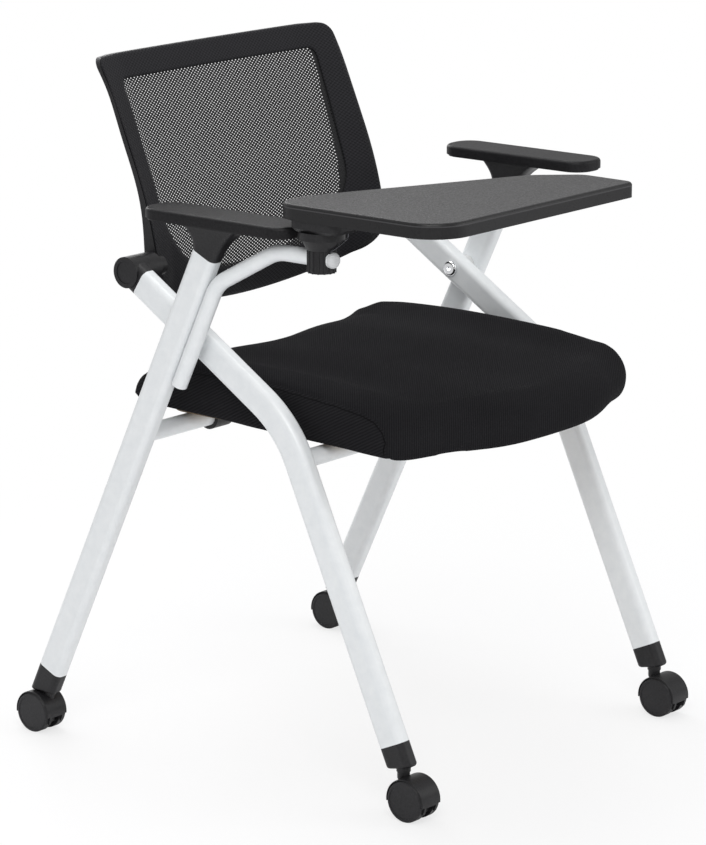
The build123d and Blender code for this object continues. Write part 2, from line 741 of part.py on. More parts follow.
def castor(x, stem_y, trail_side):
    """Hood, stem, axle and twin wheels of one castor."""
    centre = (stem_y + trail_side * castor_trail, wheel_radius)
    stem = post(x, stem_y, stem_bottom, stem_top, stem_radius)
    start = hood_web / 2 + apart
    reach = start + wheel_width * 0.7
    axle = rod(x - reach, x + reach, centre, axle_radius)
    wheels = []
    for side in (-1, 1):
        inner = x + side * start
        outer = inner + side * wheel_width
        wheel = rod(inner, outer, centre, wheel_radius)
        rims = wheel.edges().filter_by(GeomType.CIRCLE).sort_by(Axis.X)
        wheel = fillet(rims[0 if side < 0 else -1], wheel_round)
        wheel -= rod(outer - side * wheel_dish, outer, centre, wheel_dish_radius)
        wheel -= rod(inner, x + side * (reach + apart), centre, axle_radius + running)
        wheels.append(wheel)
    hood = castor_hood(x, stem_y, trail_side)
    return {"hood": hood, "stem": stem, "axle": axle, "wheels": Compound(wheels)}


def stem_place(place, angle):
    """Y of a castor's stem, from the leg's middle line at the stem's level."""
    return place[0] - (place[1] - stem_level) / math.tan(math.radians(angle)) - stem_ahead


def build():
    """Every node of the chair by name."""
    sides = {"right": -1, "left": 1}
    nodes = {}
    nodes["front_crossbar"] = cross_bar(front_bar, inner_face)
    nodes["rear_crossbar"] = cross_bar(rear_bar, rear_inner_face)
    nodes["pivot_bolts"] = Compound([folding_bolt(side) for side in sides.values()])
    spacers = []
    nuts = []
    caps = []
    bushes = []
    shafts = []
    arm_screws = []
    clamps = []
    saddles = []
    for name, side in sides.items():
        nodes[f"front_leg_{name}"] = front_leg(side * front_plane)
        nodes[f"rear_leg_{name}"] = rear_leg(side * rear_plane)
        nodes[f"back_bracket_{name}"] = back_bracket(side)
        nodes[f"arm_support_{name}"] = arm_support(side)
        nodes[f"arm_pad_{name}"] = arm_pad(side)
        spacers.append(ring(side * front_outer_face, side * rear_inner_face, pivot, spacer_radius,
                            bolt_radius + slip))
        nut_base = rear_inner_face + tube_wall
        nuts.append(ring(side * nut_base, side * (nut_base + nut_height), pivot, nut_radius,
                         bolt_radius + running))
        caps.append(pivot_cap(side))
        bushes.append(ring(side * barrel_inner, side * front_plane, barrel, bush_radius - slip,
                           shaft_radius + running))
        shafts.append(rod(side * (back_half - shaft_seat), side * (front_plane - apart), barrel,
                          shaft_radius))
        clamps.append(seat_clamp(side))
        saddles.append(seat_saddle(side))
        shell_bottom = pad_bottom - shell_thickness
        for place in arm_screw_places():
            arm_screws.append(screw(side * rear_plane, place, shell_bottom,
                                    shell_thickness + arm_screw_reach, arm_screw_radius, arm_screw_head,
                                    seat_screw_head_height))
        legs = {
            "front": (side * front_plane, front_foot, lower_angle, front_plug, -1),
            "rear": (side * rear_plane, rear_foot, rear_up, rear_plug, 1),
        }
        for end, (x, place, angle, foot, trail_side) in legs.items():
            stem_y = stem_place(place, angle)
            nodes[f"leg_plug_{end}_{name}"] = leg_plug(x, place, angle, stem_y, foot)
            for piece, shape in castor(x, stem_y, trail_side).items():
                nodes[f"castor_{piece}_{end}_{name}"] = shape
    nodes["pivot_spacers"] = Compound(spacers)
    nodes["pivot_nuts"] = Compound(nuts)
    nodes["back_pivot_caps"] = Compound(caps)
    nodes["back_torsion_bushes"] = Compound(bushes)
    nodes["back_pivot_shafts"] = Compound(shafts)
    nodes["arm_screws"] = Compound(arm_screws)
    nodes["back_frame"], nodes["back_mesh"] = back_rest()
    nodes["tablet_arm_tube"] = arm_tube()
    nodes["tablet_tube_cap"] = arm_tube_cap()
    nodes["tablet_hub"] = tablet_hub()
    nodes["tablet_swivel_pin"] = post(-rear_plane, hub_middle, hub_flange_top - pin_depth,
                                      hub_flange_top + pin_reach, pin_radius)
    nodes["tablet_latch_wire"] = latch_wire()
    nodes["tablet_housing"] = tablet_housing()
    nodes["tablet_board"] = tablet_board()
    screw_seat = tablet_bottom - tablet_thickness / 3
    nodes["tablet_screws"] = Compound([
        screw(x, y, screw_seat, tablet_bottom + tablet_screw_reach - screw_seat, tablet_screw_radius,
              tablet_screw_head, tablet_screw_head / 2)
        for x, y in tablet_screw_places()
    ])
    nodes["seat_cushion"] = seat_cushion()
    nodes["seat_pan"] = drilled(extrude(Pos(0, 0, pan_bottom) * pan_sketch(), amount=pan_thickness))
    nodes["seat_hinge_clamps"] = Compound(clamps)
    nodes["seat_front_saddles"] = Compound(saddles)
    nodes["seat_screws"] = Compound([
        screw(x, y, pan_bottom - flange_thickness, seat_screw_reach, seat_screw_radius, seat_screw_head,
              seat_screw_head_height)
        for x, y in seat_screw_places()
    ])
    return nodes


os.makedirs("parts", exist_ok=True)
chair = build()
for node, shape in chair.items():
    export_step(shape, f"parts/{node}.step")
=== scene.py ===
import json
import math
import bmesh
import bpy
from mathutils import Matrix, Vector
from mathutils.bvhtree import BVHTree


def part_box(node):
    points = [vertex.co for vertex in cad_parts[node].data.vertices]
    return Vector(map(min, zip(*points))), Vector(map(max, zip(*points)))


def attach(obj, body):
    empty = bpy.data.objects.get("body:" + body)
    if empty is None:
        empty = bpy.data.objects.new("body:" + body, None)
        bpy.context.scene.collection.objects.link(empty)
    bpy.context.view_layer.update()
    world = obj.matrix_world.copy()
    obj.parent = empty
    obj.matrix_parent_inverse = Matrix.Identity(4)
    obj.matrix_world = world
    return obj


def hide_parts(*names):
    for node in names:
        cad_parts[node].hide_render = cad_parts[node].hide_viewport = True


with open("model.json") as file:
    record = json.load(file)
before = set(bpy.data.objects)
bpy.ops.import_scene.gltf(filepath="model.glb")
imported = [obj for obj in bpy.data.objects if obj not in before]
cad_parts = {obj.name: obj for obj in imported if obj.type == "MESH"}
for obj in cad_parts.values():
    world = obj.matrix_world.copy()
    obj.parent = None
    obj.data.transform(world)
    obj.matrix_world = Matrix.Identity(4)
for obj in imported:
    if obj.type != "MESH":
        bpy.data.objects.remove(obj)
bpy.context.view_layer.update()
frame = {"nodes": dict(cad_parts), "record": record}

scene = bpy.context.scene
nodes = frame["nodes"]
mm = 0.001


# Shader sums are written as expressions on these sockets
class Wire:
    def __init__(self, paint, socket):
        self.paint = paint
        self.socket = socket

    def sum(self, operation, first, second):
        return self.paint.add("ShaderNodeMath", {"operation": operation}, {0: first, 1: second})

    def __add__(self, other):
        return self.sum("ADD", self, other)

    def __radd__(self, other):
        return self.sum("ADD", other, self)

    def __sub__(self, other):
        return self.sum("SUBTRACT", self, other)

    def __rsub__(self, other):
        return self.sum("SUBTRACT", other, self)

    def __mul__(self, other):
        return self.sum("MULTIPLY", self, other)

    def __rmul__(self, other):
        return self.sum("MULTIPLY", other, self)

    def __truediv__(self, other):
        return self.sum("DIVIDE", self, other)

    def __gt__(self, other):
        return self.sum("GREATER_THAN", self, other)

    def __lt__(self, other):
        return self.sum("LESS_THAN", self, other)


class Paint:
    def __init__(self, name, library=bpy.data.materials, shader="Principled BSDF"):
        self.block = library.new(name)
        self.block.use_nodes = True
        self.tree = self.block.node_tree
        self.shader = self.tree.nodes[shader]

    def add(self, kind, settings=None, inputs=None, output=0):
        node = self.tree.nodes.new(kind)
        for key, value in (settings or {}).items():
            setattr(node, key, value)
        for key, value in (inputs or {}).items():
            self.put(node.inputs[key], value)
        return Wire(self, node.outputs[output])

    def put(self, socket, value):
        if isinstance(value, Wire):
            self.tree.links.new(value.socket, socket)
        elif isinstance(value, tuple) and len(socket.default_value) == 4:
            socket.default_value = (*value, 1)
        else:
            socket.default_value = value

    def set(self, **values):
        for key, value in values.items():
            self.put(self.shader.inputs[key.replace("_", " ")], value)

    def place(self, scale=(1, 1, 1)):
        where = self.add("ShaderNodeTexCoord", None, None, "Object")
        return self.add("ShaderNodeMapping", None, {"Vector": where, "Scale": scale})

    def axes(self):
        where = self.add("ShaderNodeTexCoord", None, None, "Object")
        split = self.add("ShaderNodeSeparateXYZ", None, {0: where})
        return tuple(Wire(self, socket) for socket in split.socket.node.outputs)

    def noise(self, where, scale, detail=2.0, rough=0.5):
        return self.add("ShaderNodeTexNoise", None,
                        {"Vector": where, "Scale": scale, "Detail": detail, "Roughness": rough})

    def blend(self, factor, first, second):
        return self.add("ShaderNodeMix", {"data_type": "RGBA"}, {0: factor, 6: first, 7: second}, 2)

    def span(self, value, low, high, first=0.0, last=1.0):
        return self.add("ShaderNodeMapRange", None, {0: value, 1: first, 2: last, 3: low, 4: high})

    def bump(self, height, strength, distance):
        return self.add("ShaderNodeBump", None,
                        {"Height": height, "Strength": strength, "Distance": distance})


# Moulded finishes: tones and grains per metre, and what differs from the plain one
plainMould = {
    "rough": (0.42, 0.55), "bump": 0.25, "depth": 0.0004, "gloss": 0.3,
    "fineness": (3.0, 0.6), "cloud": 14.0,    # detail and roughness of the grain, clouds per metre
    "share": 0.5, "spread": (0.3, 0.7),       # the grain's part of the tone, and the noise it spans
}
mouldedSet = {
    "nylonSpacer": {"dark": (0.62, 0.63, 0.63), "light": (0.66, 0.67, 0.67), "grain": 800.0},
    "bushRubber": {"dark": (0.012, 0.012, 0.012), "light": (0.02, 0.02, 0.02), "grain": 500.0,
                   "rough": (0.7, 0.8)},
    "castorNylon": {"dark": (0.0085, 0.0083, 0.0092), "light": (0.0265, 0.0260, 0.0284), "grain": 380.0,
                    "rough": (0.32, 0.46), "bump": 0.6},
    "hoodNylon": {"dark": (0.0060, 0.0058, 0.0065), "light": (0.0185, 0.0181, 0.0199), "grain": 380.0,
                  "rough": (0.30, 0.44), "bump": 0.6},
    "meshYarn": {"dark": (0.008, 0.008, 0.0088), "light": (0.013, 0.013, 0.0142), "grain": 1500.0,
                 "rough": (0.6, 0.8)},
    "capGrey": {"dark": (0.56, 0.57, 0.58), "light": (0.62, 0.63, 0.64), "grain": 600.0},
    "mouldedBlack": {"dark": (0.0070, 0.0068, 0.0075), "light": (0.0222, 0.0217, 0.0236), "grain": 380.0,
                     "rough": (0.34, 0.50), "bump": 0.6},
    "padBlack": {"dark": (0.0045, 0.0043, 0.0048), "light": (0.0180, 0.0175, 0.0191), "grain": 360.0,
                 "rough": (0.36, 0.54), "bump": 0.8, "gloss": 0.18},
}


def mouldedPaint(name):
    s = {**plainMould, **mouldedSet[name]}
    paint = Paint(name)
    where = paint.place()
    fine = paint.noise(where, s["grain"], *s["fineness"])
    broad = paint.noise(where, s["cloud"])
    tone = broad * (1 - s["share"]) + paint.span(fine, 0.0, s["share"], *s["spread"])
    paint.set(Base_Color=paint.blend(tone, s["dark"], s["light"]), Roughness=paint.span(fine, *s["rough"]),
              Normal=paint.bump(fine, s["bump"], s["depth"]), Specular_IOR_Level=s["gloss"])
    return paint.block


# Writing tablet: a grained top, with painted shade that makes the edges and underside darker and a painted
# highlight as a paler line under the rim
tabletSet = {
    "topFrom": 0.0012, "topFull": 0.0002, "highlightLow": 0.0048, "highlightHigh": 0.0034,    # below the top face
    "grain": (330.0, 3.0, 0.65), "cloud": (22.0, 3.0), "share": 0.6, "spread": (0.3, 0.7),
    "top": ((0.0070, 0.0068, 0.0074), (0.0340, 0.0332, 0.0354)),
    # edge: darker tones of the sides and underside, painted shade
    "edge": ((0.0060, 0.0058, 0.0064), (0.0095, 0.0092, 0.0101)),
    # line: pale tone of the band under the rim, a painted highlight
    "line": (0.0420, 0.0412, 0.0435),
    "rough": (0.24, 0.54), "bump": 0.9, "depth": 0.0008, "gloss": 0.36,
}


def tabletPaint(name, s, level):
    paint = Paint(name)
    z = paint.axes()[2]
    # top: mask of the top face, for its grain and for the painted shade of the sides below it
    top = paint.span(z, 0.0, 1.0, level - s["topFrom"], level - s["topFull"])
    # line: the band under the rim that takes the painted highlight
    line = (z > level - s["highlightLow"]) * (z < level - s["highlightHigh"])
    grain = paint.noise(paint.place(), *s["grain"])
    broad = paint.noise(paint.place(), *s["cloud"])
    speck = paint.span(grain, 0.0, s["share"], *s["spread"]) + broad * (1 - s["share"])
    # edge: the sides and underside in the darker tones as painted shade, with the painted highlight band
    edge = paint.blend(line, paint.blend(speck, *s["edge"]), s["line"])
    paint.set(Base_Color=paint.blend(top, edge, paint.blend(speck, *s["top"])),
              Roughness=paint.span(grain, *s["rough"], *s["spread"]),
              Normal=paint.bump(grain * top, s["bump"], s["depth"]), Specular_IOR_Level=s["gloss"])
    return paint.block


# White powder coat on the tubes
powderSet = {
    "peel": 900.0, "cloud": (70.0, 4.0, 0.6), "spread": (0.25, 0.75),
    "dark": (0.735, 0.760, 0.775), "light": (0.800, 0.820, 0.830),
    "rough": (0.30, 0.42), "bump": 0.12, "depth": 0.0001, "coat": 0.25, "coatRough": 0.2,
}


def powderCoat(name, s):
    paint = Paint(name)
    where = paint.place()
    peel = paint.noise(where, s["peel"])
    cloud = paint.span(paint.noise(where, *s["cloud"]), 0.0, 1.0, *s["spread"])
    paint.set(Base_Color=paint.blend(cloud, s["dark"], s["light"]), Roughness=paint.span(peel, *s["rough"]),
              Normal=paint.bump(peel, s["bump"], s["depth"]),
              Coat_Weight=s["coat"], Coat_Roughness=s["coatRough"])
    return paint.block


# Plywood of the seat board, its grain running front to back
plySet = {
    "grain": (260.0, 4.0, 0.6), "grainRun": (1, 0.06, 1), "figure": (30.0, 3.0), "figureRun": (1, 0.15, 1),
    "share": 0.55, "spread": (0.3, 0.7), "dark": (0.17, 0.115, 0.065), "light": (0.36, 0.27, 0.175),
    "rough": (0.5, 0.75), "bump": 0.3, "depth": 0.0002,
}


def plyPaint(name, s):
    paint = Paint(name)
    grain = paint.noise(paint.place(s["grainRun"]), *s["grain"])
    figure = paint.noise(paint.place(s["figureRun"]), *s["figure"])
    tone = paint.span(grain, 0.0, s["share"], *s["spread"]) + figure * (1 - s["share"])
    paint.set(Base_Color=paint.blend(tone, s["dark"], s["light"]), Roughness=paint.span(grain, *s["rough"]),
              Normal=paint.bump(grain, s["bump"], s["depth"]))
    return paint.block


# Bare metals: tint and roughness, which varies by a share over the brushing
metalGrain = {"brushed": 600.0, "vary": 0.2}
metalSet = {
    "brightBolt": ((0.80, 0.81, 0.82), 0.12),
    "zincSteel": ((0.55, 0.56, 0.58), 0.35),
    "latchSteel": ((0.10, 0.10, 0.11), 0.4),
}


def metalPaint(name, s):
    tint, rough = metalSet[name]
    paint = Paint(name)
    brushed = paint.noise(paint.place(), s["brushed"])
    paint.set(Base_Color=tint, Metallic=1.0,
              Roughness=paint.span(brushed, rough * (1 - s["vary"]), rough * (1 + s["vary"])))
    return paint.block


# Rounded ribs across a running length, 0 to 1
def ribs(paint, run, pitch):
    return paint.add("ShaderNodeMath", {"operation": "SINE"}, {0: run * (2 * math.pi / pitch)}) * 0.5 + 0.5


# Diamond lattice of height waves from two running lengths, 0 to 1
def lattice(paint, first, second):
    a = paint.add("ShaderNodeMath", {"operation": "COSINE"}, {0: (first + second) * (2 * math.pi)})
    b = paint.add("ShaderNodeMath", {"operation": "COSINE"}, {0: (first - second) * (2 * math.pi)})
    return (a + b) * 0.25 + 0.5


# Doubled net on the back's border: faint dots where the holes of both layers meet
borderSet = {
    "cell": (0.0064, 0.0043), "fuzz": 2600.0, "cloud": 26.0,
    "dots": 0.8, "cloudShare": 0.15, "fuzzShare": 0.1, "fuzzBump": 0.4,
    "dark": (0.0018, 0.0018, 0.0026), "light": (0.0210, 0.0205, 0.0238),
    "rough": (0.62, 0.85), "bump": 0.5, "depth": 0.0005, "sheen": 0.02, "gloss": 0.18,
}


def borderCloth(name, s):
    paint = Paint(name)
    x, z = paint.axes()[::2]
    dots = lattice(paint, x / s["cell"][0], z / s["cell"][1])
    fuzz = paint.noise(paint.place(), s["fuzz"])
    broad = paint.noise(paint.place(), s["cloud"])
    tone = dots * s["dots"] + broad * s["cloudShare"] + fuzz * s["fuzzShare"]
    paint.set(Base_Color=paint.blend(tone, s["dark"], s["light"]), Roughness=paint.span(fuzz, *s["rough"]),
              Normal=paint.bump(dots + fuzz * s["fuzzBump"], s["bump"], s["depth"]),
              Sheen_Weight=s["sheen"], Specular_IOR_Level=s["gloss"])
    return paint.block


# Woven seat cloth, with a ribbed cloth on the sides where the boxing attribute is set
clothSet = {
    "topRibs": 0.0026, "topRun": (0.65, 0.76), "sideRibs": 0.0034, "sideRun": (0.46, 0.89),
    "fuzz": (900.0, 3.0, 0.6), "cloud": 18.0,
    "weave": 0.45, "fuzzShare": 0.35, "cloudShare": 0.2, "spread": (0.3, 0.7), "fuzzBump": 0.5,
    "dark": (0.0045, 0.0044, 0.0050), "light": (0.0245, 0.0240, 0.0262),
    "rough": (0.8, 0.98), "bump": 0.45, "depth": 0.0004, "gloss": 0.03,
}


def seatCloth(name, s):
    paint = Paint(name)
    x, y, z = paint.axes()
    plain = ribs(paint, x * s["topRun"][0] - y * s["topRun"][1], s["topRibs"])
    rib = ribs(paint, y * s["sideRun"][0] + z * s["sideRun"][1], s["sideRibs"])
    side = paint.add("ShaderNodeAttribute", {"attribute_name": "boxing"}, None, "Fac")
    weave = plain * (1 - side) + rib * side
    fuzz = paint.noise(paint.place(), *s["fuzz"])
    broad = paint.noise(paint.place(), s["cloud"])
    tone = weave * s["weave"] + paint.span(fuzz, 0.0, s["fuzzShare"], *s["spread"]) + broad * s["cloudShare"]
    paint.set(Base_Color=paint.blend(tone, s["dark"], s["light"]), Roughness=paint.span(fuzz, *s["rough"]),
              Normal=paint.bump(weave + fuzz * s["fuzzBump"], s["bump"], s["depth"]),
              Specular_IOR_Level=s["gloss"])
    return paint.block


# Sewing threads: tones and gloss
threadTwist = {"twist": 1800.0, "run": (1, 1, 3), "rough": (0.5, 0.7), "bump": 0.4, "depth": 0.0002}
threadSet = {
    "blackThread": ((0.006, 0.006, 0.0066), (0.016, 0.016, 0.0172), 0.4),
    "seamThread": ((0.0015, 0.0015, 0.0017), (0.004, 0.004, 0.0043), 0.05),
}


def threadPaint(name, s):
    dark, light, gloss = threadSet[name]
    paint = Paint(name)
    twist = paint.noise(paint.place(s["run"]), s["twist"])
    paint.set(Base_Color=paint.blend(twist, dark, light), Roughness=paint.span(twist, *s["rough"]),
              Normal=paint.bump(twist, s["bump"], s["depth"]), Specular_IOR_Level=gloss)
    return paint.block


finishes = {
    "frame_white": powderCoat("powderWhite", powderSet),
    "bolt_chrome": metalPaint("brightBolt", metalGrain),
    "steel": metalPaint("zincSteel", metalGrain),
    "spacer_plastic": mouldedPaint("nylonSpacer"),
    "rubber": mouldedPaint("bushRubber"),
    "castor_wheel": mouldedPaint("castorNylon"),
    "castor_hood": mouldedPaint("hoodNylon"),
    "mesh_fabric": mouldedPaint("meshYarn"),
    "seat_fabric": seatCloth("seatCloth", clothSet),
    "seat_board": plyPaint("seatBoard", plySet),
    "tablet_plastic": tabletPaint("tabletGrainPaintedLight", tabletSet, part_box("tablet_board")[1][2]),
    "cap_grey": mouldedPaint("capGrey"),
    "black_plastic": mouldedPaint("mouldedBlack"),
}
padBlack = mouldedPaint("padBlack")
ownFinish = {
    "arm_pad_left": padBlack,
    "arm_pad_right": padBlack,
    "tablet_latch_wire": metalPaint("latchSteel", metalGrain),
}

slotOf = {row["node"]: row["material_slot"] for row in frame["record"]["subparts"]}
for name, node in nodes.items():
    node.data.materials.clear()
    node.data.materials.append(ownFinish.get(name, finishes[slotOf[name]]))
print("CAD nodes painted:", len(nodes))


# Back: the net in its window, the doubled cloth round it, and the sewing along the sides
backSet = {
    "barrel": (176.83, 595.81),        # Y and Z of the back's pivot, millimetres
    "half": 219.0, "rise": 243.7, "sideDrop": 30.5, "middleDrop": 73.5,
    "topRadius": 14.0, "lowRadius": 45.0, "cornerSteps": 8, "sideCuts": 36,
    "windowTop": 183.0, "windowLow": 177.0, "windowRise": 216.5, "windowSide": 9.5, "windowDrop": 33.5,
    "windowTopRadius": 12.0, "windowLowRadius": 60.0,
    # height above the pivot, sheet's edge behind it, wing depth, bow of the middle
    "sections": [
        (-90.5, 9.1, 27.4, 20.0), (-60.5, -7.9, 29.4, 20.0), (-25.5, -18.9, 31.4, 20.0),
        (14.5, -16.4, 31.4, 17.0), (59.5, -5.9, 31.4, 13.0), (109.5, 11.6, 31.4, 9.0),
        (164.5, 37.1, 26.4, 6.0), (216.5, 63.1, 21.4, 5.0), (259.5, 84.6, 21.4, 4.0),
    ],
    "sheetHalf": 241.0, "wingHalf": 180.0, "wingStart": 165.0, "wingPower": 1.306,
    "clothLift": 1.1, "clothThick": 0.9, "sideInset": 2.5, "trim": 0.5, "borderCuts": 9,
    # the cloth's fold over the frame's edge, deeper from foldStart below the top
    "topWrap": 6.5, "sideWrap": 0.8, "foldStart": 26.0, "foldOver": 16.0,
    "netCell": (6.4, 4.3), "netCount": 130, "netStrand": 1.15, "netSet": 1.2, "netTuck": 5.0,
    "stitchStep": 6.2, "stitchSize": (0.8, 0.7, 3.8), "stitchInset": 7.0,
    "stitchProud": 0.15, "stitchRound": 0.25,
}


def clamp(share):
    return min(max(share, 0.0), 1.0)


# Smooth value of one column between the sections
def sectionAt(rows, column, height):
    last = len(rows) - 1
    step = 0
    while step < last - 1 and height > rows[step + 1][0]:
        step += 1
    a, b = rows[step], rows[step + 1]
    before, after = rows[max(step - 1, 0)], rows[min(step + 2, last)]
    run = b[0] - a[0]
    t = (height - a[0]) / run
    slopeA = (b[column] - before[column]) / (b[0] - before[0]) * run
    slopeB = (after[column] - a[column]) / (after[0] - a[0]) * run
    return ((2 * t ** 3 - 3 * t ** 2 + 1) * a[column] + (t ** 3 - 2 * t ** 2 + t) * slopeA
            + (3 * t ** 2 - 2 * t ** 3) * b[column] + (t ** 3 - t ** 2) * slopeB)


# Front of the back in millimetres, for a place across and a height above the pivot
def backFront(s, x, height):
    reach = max(abs(x) - s["wingStart"], 0.0) / (s["sheetHalf"] - s["wingStart"])
    wing = sectionAt(s["sections"], 2, height) * (1 - reach ** s["wingPower"])
    bow = sectionAt(s["sections"], 3, height) * max(1 - (x / s["wingHalf"]) ** 2, 0.0)
    return s["barrel"][0] + sectionAt(s["sections"], 1, height) + wing + bow


def finishPiece(shape, name, body, paint, scale=mm):
    bmesh.ops.scale(shape, vec=(scale, scale, scale), verts=shape.verts)
    mesh = bpy.data.meshes.new(name)
    shape.to_mesh(mesh)
    shape.free()
    mesh.materials.append(paint)
    mesh.shade_smooth()
    piece = bpy.data.objects.new(name, mesh)
    scene.collection.objects.link(piece)
    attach(piece, body)
    return piece


# Rounded outline in X and Z, its lower edge arched
def backLoop(shape, s, half, lowHalf, top, low, middle, topRadius, lowRadius):
    others = set(shape.faces)
    places = [(-half, 0, top), (half, 0, top), (lowHalf, 0, low), (-lowHalf, 0, low)]
    corners = [shape.verts.new(place) for place in places]
    shape.faces.new(corners)
    for pair, radius in ((corners[:2], topRadius), (corners[2:], lowRadius)):
        bmesh.ops.bevel(shape, geom=pair, offset=radius, offset_type="OFFSET", affect="VERTICES",
                        segments=s["cornerSteps"], profile=0.5, material=-1)
    face = (set(shape.faces) - others).pop()
    for edge in sorted(face.edges, key=lambda side: -side.calc_length())[:4]:    # the straight sides
        bmesh.ops.subdivide_edges(shape, edges=[edge], cuts=s["sideCuts"])
    face = (set(shape.faces) - others).pop()
    for vert in face.verts:
        share = clamp((low + lowRadius - vert.co.z) / lowRadius)
        vert.co.z -= share * (low - middle) * max(1 - (vert.co.x / lowHalf) ** 2, 0.0)
    return face


def faceForward(shape):
    if sum(face.normal.y for face in shape.faces) > 0:
        bmesh.ops.reverse_faces(shape, faces=shape.faces)


def makeBorder(s, paint):
    shape = bmesh.new()
    side = s["half"] - s["sideInset"]
    trim = s["trim"]
    outer = backLoop(shape, s, side, side, s["rise"] + trim, -s["sideDrop"] + trim, -s["middleDrop"] + trim,
                     s["topRadius"], s["lowRadius"])
    rim = list(outer.edges)
    inner = backLoop(shape, s, s["windowTop"] - trim, s["windowLow"] - trim, s["windowRise"] - trim,
                     s["windowSide"] + trim, -s["windowDrop"] + trim,
                     s["windowTopRadius"], s["windowLowRadius"])
    hole = list(inner.edges)
    bmesh.ops.delete(shape, geom=[outer, inner], context="FACES_ONLY")
    joined = bmesh.ops.bridge_loops(shape, edges=rim + hole)
    loops = set(rim + hole)
    across = [edge for face in joined["faces"] for edge in face.edges if edge not in loops]
    bmesh.ops.subdivide_edges(shape, edges=list(set(across)), cuts=s["borderCuts"], use_grid_fill=True)
    wrapped = bmesh.ops.extrude_edge_only(shape, edges=rim)["geom"]
    folds = [vert for vert in wrapped if isinstance(vert, bmesh.types.BMVert)]
    for vert in shape.verts:
        vert.co.y = backFront(s, vert.co.x, vert.co.z) - s["clothLift"]
    for vert in folds:
        share = clamp((vert.co.z - s["rise"] + s["foldStart"]) / s["foldOver"])
        vert.co.y += s["sideWrap"] + (s["topWrap"] - s["sideWrap"]) * share
    bmesh.ops.recalc_face_normals(shape, faces=shape.faces)
    faceForward(shape)
    bmesh.ops.translate(shape, vec=(0, 0, s["barrel"][1]), verts=shape.verts)
    piece = finishPiece(shape, "backBorder", "backrest", paint)
    wall = piece.modifiers.new("doubled", "SOLIDIFY")
    wall.thickness = s["clothThick"] * mm
    wall.offset = -1
    return piece


def inWindow(s, x, height):
    share = (height - s["windowSide"]) / (s["windowRise"] - s["windowSide"])
    side = s["windowLow"] + (s["windowTop"] - s["windowLow"]) * share + s["netTuck"]
    arch = (s["windowSide"] + s["windowDrop"]) * max(1 - (x / s["windowLow"]) ** 2, 0.0)
    return abs(x) < side and s["windowSide"] - arch - s["netTuck"] < height < s["windowRise"] + s["netTuck"]


def makeNet(s, paint):
    shape = bmesh.new()
    bmesh.ops.create_grid(shape, x_segments=s["netCount"], y_segments=s["netCount"], size=s["netCount"] / 2)
    wide, tall = (size / math.sqrt(2) for size in s["netCell"])
    diamond = Matrix.Rotation(math.radians(45), 3, "Z")
    upright = Matrix.Rotation(math.radians(90), 3, "X")
    bmesh.ops.rotate(shape, cent=(0, 0, 0), matrix=diamond, verts=shape.verts)
    bmesh.ops.scale(shape, vec=(wide, tall, 1), verts=shape.verts)
    bmesh.ops.rotate(shape, cent=(0, 0, 0), matrix=upright, verts=shape.verts)
    bmesh.ops.translate(shape, vec=(0, 0, (s["windowRise"] - s["windowDrop"]) / 2), verts=shape.verts)
    spare = []
    for face in shape.faces:
        middle = face.calc_center_median()
        if not inWindow(s, middle.x, middle.z):
            spare.append(face)
    bmesh.ops.delete(shape, geom=spare, context="FACES")
    holes = list(shape.faces)
    bmesh.ops.inset_individual(shape, faces=holes, thickness=s["netStrand"], use_even_offset=True)
    bmesh.ops.delete(shape, geom=holes, context="FACES_ONLY")
    for vert in shape.verts:
        vert.co.y = backFront(s, vert.co.x, vert.co.z) + s["netSet"]
    faceForward(shape)
    bmesh.ops.translate(shape, vec=(0, 0, s["barrel"][1]), verts=shape.verts)
    piece = finishPiece(shape, "backNet", "backrest", paint)
    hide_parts("back_mesh")
    return piece


def makeStitches(s, paint):
    shape = bmesh.new()
    bottom = -s["sideDrop"] + s["lowRadius"]
    count = int((s["rise"] - s["topRadius"] - bottom) / s["stitchStep"])
    size = Matrix.Diagonal((*s["stitchSize"], 1.0))
    for side in (-1, 1):
        x = side * (s["half"] - s["stitchInset"])
        for number in range(count):
            height = bottom + number * s["stitchStep"]
            front = backFront(s, x, height)
            lean = Matrix.Rotation(-math.atan(backFront(s, x, height + 1) - front), 4, "X")
            y = front - s["clothLift"] - s["stitchProud"]
            place = Matrix.Translation((x, y, s["barrel"][1] + height))
            made = bmesh.ops.create_cube(shape, size=1.0, matrix=place @ lean @ size)
            edges = list({edge for vert in made["verts"] for edge in vert.link_edges})
            bmesh.ops.bevel(shape, geom=edges, offset=s["stitchRound"], offset_type="OFFSET", affect="EDGES",
                            segments=1, profile=0.5, material=-1)
    return finishPiece(shape, "backStitches", "backrest", paint)


border = makeBorder(backSet, borderCloth("borderCloth", borderSet))
net = makeNet(backSet, finishes["mesh_fabric"])
stitches = makeStitches(backSet, threadPaint("blackThread", threadTwist))
print("back dressed:", len(border.data.polygons), len(net.data.polygons), len(stitches.data.polygons))


